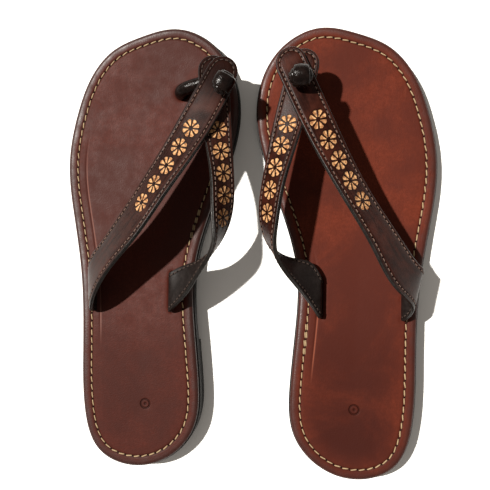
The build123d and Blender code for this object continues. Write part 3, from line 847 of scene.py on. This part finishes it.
# ------------------------ straps
class Strap:
    """The surface of a strap between its two layers, by distance along and across it."""

    def __init__(self, name):
        self.name = name
        self.side, which = name.split("_")
        self.node = f"{self.side}_{which}_strap"
        slot_x = OUTER_SLOT_X if which == "outer" else INNER_SLOT_X
        edges = []
        for column, end in ((0, -1), (1, 1)):
            points = [np.array(pair[column], float) for pair in STRAP_EDGES[name]]
            for height in (SOLE_TOP + STRAP_UPRIGHT, SOLE_TOP, INSOLE_UNDERSIDE):
                y = SLOT_Y + end * TAIL_WIDTH / 2
                points.insert(0, place(self.side, [(slot_x, y, float(lift(y)) + height)])[0])
            edges.append(np.array(points))
        knots = chord_knots((edges[0] + edges[1]) / 2)
        at = np.linspace(0, knots[-1], STRAP_SAMPLES)
        rear, front = (spline(edge, knots, at) for edge in edges)
        self.middle = (rear + front) / 2
        self.s = chord_knots(self.middle)
        self.length = self.s[-1]
        self.half = np.linalg.norm(front - rear, axis=1) / 2
        self.end_radius = self.half[-1]
        self.across = (front - rear) / (2 * self.half[:, None])
        self.run = np.gradient(self.middle, axis=0)
        self.run /= np.linalg.norm(self.run, axis=1)[:, None]
        self.normal = np.cross(self.run, self.across)
        self.normal /= np.linalg.norm(self.normal, axis=1)[:, None]
        if self.normal[-1, 2] < 0:
            self.normal = -self.normal

    def look_up(self, table, s):
        return columns_at(s, self.s, table) if table.ndim > 1 else np.interp(s, self.s, table)

    def point(self, s, t, height):
        """t is the distance from the middle line, height above the seam."""
        return (self.look_up(self.middle, s) + self.look_up(self.across, s) * np.asarray(t)[..., None]
                + self.look_up(self.normal, s) * np.asarray(height)[..., None])

    def rim_distance(self, s, t):
        """How far a place on the strap is from its edge."""
        straight = self.look_up(self.half, s) - np.abs(t)
        past = s - (self.length - self.end_radius)
        rounded = self.end_radius - np.sqrt(np.maximum(past, 0) ** 2 + np.asarray(t) ** 2)
        return np.where(past > 0, rounded, straight)


def strap_grid(strap):
    """Rows and columns of (s, t) over the strap, finer at its flowers, ending in a half circle."""
    end_radius = strap.end_radius - STRAP_TRIM
    edge = np.array(STRAP_INSETS) / strap.half.mean()
    plain_width = 2 * (strap.half.mean() - STRAP_INSETS[-1])
    middle = np.linspace(edge[-1], 2 - edge[-1], round(plain_width / FLOWER_GRID) + 1)[1:-1]
    shares = np.concatenate([edge, middle, 2 - edge[::-1]]) - 1
    tail = strap.length - strap.end_radius
    first = FIRST_FLOWER[strap.name]
    last = first + FLOWERS * FLOWER_SPACING
    stations = np.concatenate([np.arange(0, first, STRAP_GRID), np.arange(first, last, FLOWER_GRID),
                               np.arange(last, tail - STRAP_INSETS[-1], STRAP_GRID)])
    stations = stations / (stations[-1] + STRAP_GRID)
    s = np.empty((len(stations) + len(STRAP_INSETS), len(shares)))
    for column, share in enumerate(shares):
        reach = tail + math.sqrt(max(end_radius**2 - (share * end_radius) ** 2, 0))
        ends = reach - np.array(STRAP_INSETS[::-1])
        s[:, column] = np.concatenate([stations * ends[0], ends])
    t = shares[None, :] * (strap.look_up(strap.half, s) - STRAP_TRIM)
    past = np.maximum(s - tail, 0)
    limit = np.sqrt(np.maximum(end_radius**2 - past**2, 0))
    return s, np.where(s > tail, np.clip(t, -limit, limit), t)


def petal_share(s, t):
    """How deep in a stamped petal a place on the strap is, from 0 to 1; s starts at the first flower."""
    x = s % FLOWER_SPACING - FLOWER_SPACING / 2
    radius = np.hypot(x, t)
    off = np.abs((np.arctan2(t, x) * PETALS / math.tau + PETAL_SHIFT) % 1 - 0.5)
    gap = (radius - PETAL_POINT) * PETAL_SPREAD - off * math.tau / PETALS * radius
    share = np.clip((gap + 0.1) / PETAL_SLOPE, 0, 1)
    share *= np.clip((PETAL_END + 0.2 - radius - off * PETAL_ROUNDING) / PETAL_SLOPE, 0, 1)
    share *= np.clip((radius - PETAL_START) / PETAL_SLOPE, 0, 1)
    return share * ((s > 0) & (s < FLOWERS * FLOWER_SPACING))


def strap_faces(rows, columns):
    """Quads of a strap's top and bottom sheets in turn, and the open loop round their edge."""
    faces, kinds = [], []
    for i in range(rows - 1):
        for j in range(columns - 1):
            a = i * columns + j
            quad = (a, a + 1, a + columns + 1, a + columns)
            faces += [quad, tuple(rows * columns + k for k in reversed(quad))]
            kinds += [0, 1]
    loop = [i * columns for i in range(rows)]
    loop += [(rows - 1) * columns + j for j in range(1, columns)]
    loop += [i * columns + columns - 1 for i in range(rows - 2, -1, -1)]
    return faces, kinds, np.array(loop)


def outward_at(strap, s, t):
    """Direction out of the strap's edge, within its surface."""
    past = s - (strap.length - strap.end_radius)
    curved = past > 0.01
    size = np.where(curved, np.hypot(past, t), 1)
    along = np.where(curved, past / size, 0)
    sideways = np.where(curved, t / size, np.sign(t))
    return strap.look_up(strap.run, s) * along[:, None] + strap.look_up(strap.across, s) * sideways[:, None]


def strap_mesh(name):
    """A two-layer strap: stamped flowers, grooves for the thread, rounded black edges and the seam."""
    strap = Strap(name)
    s, t = strap_grid(strap)
    distance = strap.rim_distance(s, t)
    groove = hump(distance - STRAP_STITCH_INSET, STRAP_GROOVE_WIDTH)
    pillow = PILLOW * (1 - np.clip(1 - distance / PILLOW_WIDTH, 0, 1) ** 2) + PILLOW_START
    stamped = PETAL_DEPTH * petal_share(s - FIRST_FLOWER[name], t)
    top = strap.point(s, t, GRAIN - STRAP_GROOVE * groove + pillow - stamped).reshape(-1, 3)
    bottom = strap.point(s, t, -LINING + LINING_GROOVE * groove).reshape(-1, 3)
    faces, kinds, loop = strap_faces(*s.shape)
    sheet_uv = np.column_stack([s.ravel() - FIRST_FLOWER[name], t.ravel()])
    verts, uv = [top, bottom], [sheet_uv, sheet_uv]

    edge_s, edge_t = s.ravel()[loop], t.ravel()[loop]
    up = strap.look_up(strap.normal, edge_s)
    outward = outward_at(strap, edge_s, edge_t)
    seam = strap.point(edge_s, edge_t, np.zeros(len(loop)))
    top_height = ((top[loop] - seam) * up).sum(1)
    chain = [loop]
    for out, height, drop in STRAP_EDGE_RINGS:
        level = top_height + drop if height is None else np.full(len(loop), height)
        chain.append(sum(len(v) for v in verts) + np.arange(len(loop)))
        verts.append(seam + outward * out + up * level[:, None])
        uv.append(np.column_stack([edge_s + UV_OFF_PATTERN, edge_t]))
    chain.append(len(top) + loop)
    for a, b in zip(chain, chain[1:]):
        faces += [(a[i], b[i], b[i + 1], a[i + 1]) for i in range(len(loop) - 1)]
    kinds += [2] * (len(faces) - len(kinds))
    piece(f"{name}_strap_leather", strap.side, np.vstack(verts), faces,
          [strap_brown[strap.side], lining_black, edge_black],
          uv=np.vstack(uv), indices=kinds, nodes=(f"{strap.node}_upper", f"{strap.node}_lining"))
    return strap


def strap_stitching(strap):
    """Thread down both edges of the strap and round its end, seen on both faces."""
    tail = strap.length - strap.end_radius
    radius = strap.end_radius - STRAP_STITCH_INSET
    down = np.arange(STRAP_ROW_START, tail, STRAP_ROW_STEP)
    back = np.arange(tail, STRAP_ROW_START, -STRAP_ROW_STEP)
    turn = np.linspace(-math.pi / 2, math.pi / 2, STRAP_ROW_ARC)
    path_s = np.concatenate([down, tail + radius * np.cos(turn), back])
    path_t = np.concatenate([STRAP_STITCH_INSET - strap.look_up(strap.half, down), radius * np.sin(turn),
                             strap.look_up(strap.half, back) - STRAP_STITCH_INSET])
    points, runs, normals = [], [], []
    dark = set()
    for face, level in ((1, STITCH_ON_GRAIN), (-1, STITCH_ON_LINING)):
        line = strap.point(path_s, path_t, np.full(len(path_s), level))
        knots = chord_knots(line)
        count = int(knots[-1] / STRAP_STITCH_PITCH)
        at = np.linspace(0, knots[-1], count + 1)[:-1] + knots[-1] / count / 2
        s_at = np.interp(at, knots, path_s)
        if face == -1:
            dark.update(range(len(points[0]), len(points[0]) + count))
        # Painted shade: on the left straps, the stitches near the toe end are drawn with the dark thread.
        elif strap.side == "left":
            dark.update(np.flatnonzero(s_at > strap.length - SHADED_TOE_ROW).tolist())
        points.append(columns_at(at, knots, line))
        ahead, behind = at + STRAP_ROW_REACH, at - STRAP_ROW_REACH
        runs.append(columns_at(ahead, knots, line) - columns_at(behind, knots, line))
        normals.append(strap.look_up(strap.normal, s_at) * face)
    stitches(f"{strap.name}_thread", strap.side, [np.vstack(part) for part in (points, runs, normals)],
             STRAP_STITCH, STRAP_NEEDLE, strap_thread, f"{strap.node}_stitching", dark=dark)


# ------------------------ toggle
def wrap_section():
    """The rolled strip's cross-section: (thickness, place along the roll) with cut corners."""
    half, full = TOGGLE_LENGTH / 2, WRAP_THICKNESS
    corners = [(0.0, -half + 0.35), (0.25, -half), (full - 0.6, -half), (full, -half + 0.8),
               (full, half - 0.8), (full - 0.6, half), (0.25, half), (0.0, half - 0.35)]
    section = []
    for (r0, z0), (r1, z1) in zip(corners, corners[1:] + corners[:1]):
        steps = 14 if abs(z1 - z0) > 2 else 3
        section += [(r0 + (r1 - r0) * k / steps, z0 + (z1 - z0) * k / steps) for k in range(steps)]
    return section


def toggle_mesh(side):
    """A leather strip rolled up on itself, its outer end lying against the roll."""
    joint, centre = (np.array(v, float) for v in TOGGLES[side])
    stem = (centre - joint) / np.linalg.norm(centre - joint)
    barrel = np.cross(stem, [0, 1, 0] if side == "right" else [0, 0, 1])
    barrel /= np.linalg.norm(barrel)
    sideways = np.cross(barrel, -stem)
    section = wrap_section()
    core = TOGGLE_RADIUS - WRAP_THICKNESS - WRAP_PITCH * WRAP_TURNS
    count = int(WRAP_TURNS * WRAP_STEPS)
    verts = []
    for k in range(count + 1):
        share = k / count
        turn = WRAP_TURNS * k / count
        angle = math.tau * turn + WRAP_START
        radius = max(core + WRAP_PITCH * turn, WRAP_CORE)
        spoke = -stem * math.cos(angle) + sideways * math.sin(angle)
        drift = WRAP_DRIFT * math.sin(WRAP_DRIFT_RATE * turn + WRAP_DRIFT_START)
        dome = 1 - WRAP_DOME * share**2
        for r, z in section:
            bulge = WRAP_BULGE * (1 - (2 * z / TOGGLE_LENGTH) ** 2) * (r / WRAP_THICKNESS) * share
            verts.append(centre + spoke * (radius + r + bulge) + barrel * (z * dome + drift))
    faces = tube_quads(len(section), count + 1)
    faces += [cap[::-1] for cap in end_caps(len(section), len(verts))]
    return piece(f"{side}_rolled_toggle", side, np.array(verts), faces, [post_leather],
                 nodes=(f"{side}_toe_toggle",), body=f"{side}_toggle")


# ------------------------ build
for side in ("left", "right"):
    insole_mesh(side, brown[side])
    sole_layer(side, "midsole_edge", MIDSOLE_PROFILE, midsole_black, f"{side}_midsole")
    sole_layer(side, "outsole_edge", OUTSOLE_PROFILE, outsole_black, f"{side}_outsole")
    sole_stitching(side)
    toggle_mesh(side)
for name in STRAP_EDGES:
    strap_stitching(strap_mesh(name))
for name, material in (("heel_lift", outsole_black), ("toe_post", post_leather)):
    for side in ("left", "right"):
        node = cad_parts[f"{side}_{name}"]
        node.data.materials.clear()
        node.data.materials.append(material)
        node.data.polygons.foreach_set("use_smooth", np.zeros(len(node.data.polygons), bool))

# ------------------------ floor, light and camera, in metres
FLOOR_HALF, FLOOR_BELOW = 3.0, 0.0002
WORLD_COLOR, WORLD_STRENGTH = (1.0, 0.92, 0.83), 0.3
SUN_COLOR, SUN_STRENGTH, SUN_ANGLE, TOWARD_SUN = (1.0, 0.96, 0.9), 7.0, math.radians(2), (-0.52, 0.26, 1.0)
CAMERA_AT, CAMERA_AIM = (0.0411, 0.00294, 0.380), (-0.0009, 0.00294, 0.012)

floor_shader = Shader("pale_floor")
speck = floor_shader.noise(30)
floor_material = floor_shader.finish(
    floor_shader.mix(speck, (0.90, 0.90, 0.89), (0.94, 0.94, 0.93)),
    floor_shader.step(speck, 0, 1, 0.75, 0.85), None, None)
floor_mesh = bpy.data.meshes.new("floor")
floor_grid = bmesh.new()
bmesh.ops.create_grid(floor_grid, x_segments=2, y_segments=2, size=FLOOR_HALF)
floor_grid.to_mesh(floor_mesh)
floor_grid.free()
floor_mesh.materials.append(floor_material)
floor = bpy.data.objects.new("floor", floor_mesh)
floor.location.z = -FLOOR_BELOW

world = bpy.data.worlds.new("studio")
world.use_nodes = True
world.node_tree.nodes["Background"].inputs["Color"].default_value = (*WORLD_COLOR, 1)
world.node_tree.nodes["Background"].inputs["Strength"].default_value = WORLD_STRENGTH
bpy.context.scene.world = world
bpy.context.scene.view_settings.view_transform = "Standard"

sun_data = bpy.data.lights.new("key", "SUN")
sun_data.energy = SUN_STRENGTH
sun_data.angle = SUN_ANGLE
sun_data.color = SUN_COLOR
sun = bpy.data.objects.new("key", sun_data)
sun.rotation_euler = Vector(TOWARD_SUN).normalized().to_track_quat("Z", "Y").to_euler()

camera_data = bpy.data.cameras.new("camera")
camera_data.lens = 46.0
camera_data.sensor_width = 36
camera_data.clip_start = 0.01
camera = bpy.data.objects.new("camera", camera_data)
camera.location = CAMERA_AT
back = (camera.location - Vector(CAMERA_AIM)).normalized()
right = Vector((0, 1, 0)).cross(back).normalized()
camera.rotation_euler = Matrix((right, back.cross(right), back)).transposed().to_euler()
for thing in (floor, sun, camera):
    bpy.context.scene.collection.objects.link(thing)
bpy.context.scene.camera = camera
